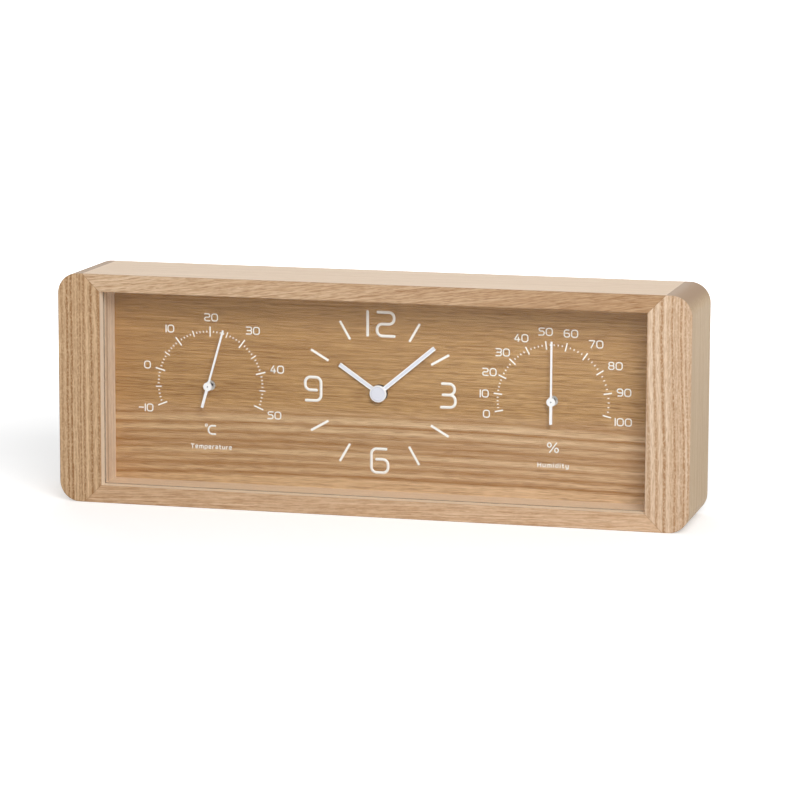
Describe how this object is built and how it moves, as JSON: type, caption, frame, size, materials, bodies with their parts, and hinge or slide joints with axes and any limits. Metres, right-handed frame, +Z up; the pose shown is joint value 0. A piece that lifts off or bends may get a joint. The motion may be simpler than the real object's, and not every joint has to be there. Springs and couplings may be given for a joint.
{
  "type": "thermometer hygrometer clock",
  "caption": "Long wooden desk clock with hour and minute hands between a round-scale thermometer and a round-scale hygrometer behind one glass.",
  "frame": {"origin": "under the middle of the clock, on the surface it stands on", "axes": "+X along the front to the right, +Y from the front to the back, +Z up"},
  "size_m": [0.31, 0.052, 0.112],
  "materials": {
    "side_wood": "oiled, fine grain",
    "rail_wood": "oiled, fine grain",
    "clear_glass": "clear, polished",
    "dial_veneer": "satin veneer",
    "batten_wood": "sawn",
    "hardboard": "matt, smooth",
    "screw_steel": "bright zinc",
    "hand_white": "satin white",
    "brass": "turned",
    "spring_steel": "bright",
    "gear_white": "moulded",
    "gear_green": "moulded",
    "magnet_grey": "sintered",
    "stator_iron": "stamped",
    "bobbin_white": "moulded",
    "copper_wire": "enamelled",
    "board_green": "lacquered",
    "crystal_can": "drawn can",
    "chip_black": "potted",
    "contact_metal": "plated strip",
    "battery_skin": "printed sleeve",
    "case_black": "moulded, fine texture",
    "knob_black": "moulded",
    "cup_metal": "pressed",
    "bimetal": "rolled strip",
    "humidity_strip": "laminated strip"
  },
  "bodies": {
    "case": {"frame_left": "side_wood", "frame_right": "side_wood", "frame_top": "rail_wood", "frame_bottom": "rail_wood", "front_glass": "clear_glass", "dial_panel": "dial_veneer", "dial_batten_top": "batten_wood", "dial_batten_bottom": "batten_wood", "dial_batten_left": "batten_wood", "dial_batten_right": "batten_wood", "back_panel": "hardboard", "back_screws": "screw_steel", "train_bridge": "bobbin_white", "stator": "stator_iron", "coil_core": "stator_iron", "coil_bobbin": "bobbin_white", "coil_winding": "copper_wire", "coil_screws": "screw_steel", "circuit_board": "board_green", "quartz_crystal": "crystal_can", "clock_chip": "chip_black", "contact_negative": "contact_metal", "contact_positive": "contact_metal", "movement_base": "case_black", "movement_cover": "case_black", "movement_screws": "screw_steel", "thermo_housing": "cup_metal", "thermo_spider": "cup_metal", "thermo_coil": "bimetal", "thermo_screws": "screw_steel", "hygro_housing": "cup_metal", "hygro_spider": "cup_metal", "hygro_coil": "humidity_strip", "hygro_screws": "screw_steel"},
    "minute_hands": {"minute_hand": "hand_white", "hand_cap": "hand_white", "centre_arbor": "brass", "clutch_spring": "spring_steel"},
    "hour_hands": {"hour_hand": "hand_white", "hour_wheel": "gear_white"},
    "motion_wheel": {"minute_wheel": "gear_white"},
    "time_setter": {"setting_knob": "knob_black"},
    "motor_rotor": {"rotor": "gear_white", "rotor_magnet": "magnet_grey"},
    "train_fifth": {"fifth_wheel": "gear_white"},
    "train_fourth": {"fourth_wheel": "gear_green"},
    "train_third": {"third_wheel": "gear_white"},
    "train_centre": {"centre_wheel": "gear_green"},
    "thermo_pointer": {"thermo_needle": "hand_white", "thermo_spindle": "brass"},
    "hygro_pointer": {"hygro_needle": "hand_white", "hygro_spindle": "brass"},
    "power_cell": {"battery": "battery_skin"}
  },
  "joints": [
    {"name": "minute_hand_turn", "type": "hinge", "parent": "case", "child": "minute_hands", "pos_m": [0, 0, 0.0565], "axis": [0, 1, 0], "continuous": true},
    {"name": "hour_hand_turn", "type": "hinge", "parent": "case", "child": "hour_hands", "pos_m": [0, 0, 0.0565], "axis": [0, 1, 0], "continuous": true},
    {"name": "motion_wheel_turn", "type": "hinge", "parent": "case", "child": "motion_wheel", "pos_m": [-0.00831, 0, 0.0613], "axis": [0, 1, 0], "continuous": true},
    {"name": "setting_knob_turn", "type": "hinge", "parent": "case", "child": "time_setter", "pos_m": [-0.01382, 0, 0.06916], "axis": [0, 1, 0], "continuous": true},
    {"name": "rotor_turn", "type": "hinge", "parent": "case", "child": "motor_rotor", "pos_m": [0.00517, 0, 0.07318], "axis": [0, 1, 0], "continuous": true},
    {"name": "fifth_wheel_turn", "type": "hinge", "parent": "case", "child": "train_fifth", "pos_m": [0.00517, 0, 0.06778], "axis": [0, 1, 0], "continuous": true},
    {"name": "fourth_wheel_turn", "type": "hinge", "parent": "case", "child": "train_fourth", "pos_m": [0.01062, 0, 0.06463], "axis": [0, 1, 0], "continuous": true},
    {"name": "third_wheel_turn", "type": "hinge", "parent": "case", "child": "train_third", "pos_m": [0.00886, 0, 0.05806], "axis": [0, 1, 0], "continuous": true},
    {"name": "centre_wheel_turn", "type": "hinge", "parent": "case", "child": "train_centre", "pos_m": [0, 0, 0.0565], "axis": [0, 1, 0], "continuous": true},
    {"name": "thermo_needle_turn", "type": "hinge", "parent": "case", "child": "thermo_pointer", "pos_m": [-0.085, 0, 0.0565], "axis": [0, 1, 0], "range_deg": [-128, 96.4], "stiffness_Nm_per_rad": 0.002},
    {"name": "hygro_needle_turn", "type": "hinge", "parent": "case", "child": "hygro_pointer", "pos_m": [0.085, 0, 0.0565], "axis": [0, 1, 0], "range_deg": [-102.6, 103.4], "stiffness_Nm_per_rad": 0.002},
    {"name": "battery_slide", "type": "slide", "parent": "case", "child": "power_cell", "axis": [0, 1, 0], "range_m": [0, 0.03]}
  ],
  "couplings": [
    {"joint": "hour_hand_turn", "follows": "minute_hand_turn", "ratio": 0.083333},
    {"joint": "motion_wheel_turn", "follows": "minute_hand_turn", "ratio": -0.33333},
    {"joint": "setting_knob_turn", "follows": "minute_hand_turn", "ratio": 1},
    {"joint": "fifth_wheel_turn", "follows": "rotor_turn", "ratio": -0.2},
    {"joint": "fourth_wheel_turn", "follows": "rotor_turn", "ratio": 0.033333},
    {"joint": "third_wheel_turn", "follows": "rotor_turn", "ratio": -0.0044444},
    {"joint": "centre_wheel_turn", "follows": "rotor_turn", "ratio": 0.00055556}
  ]
}
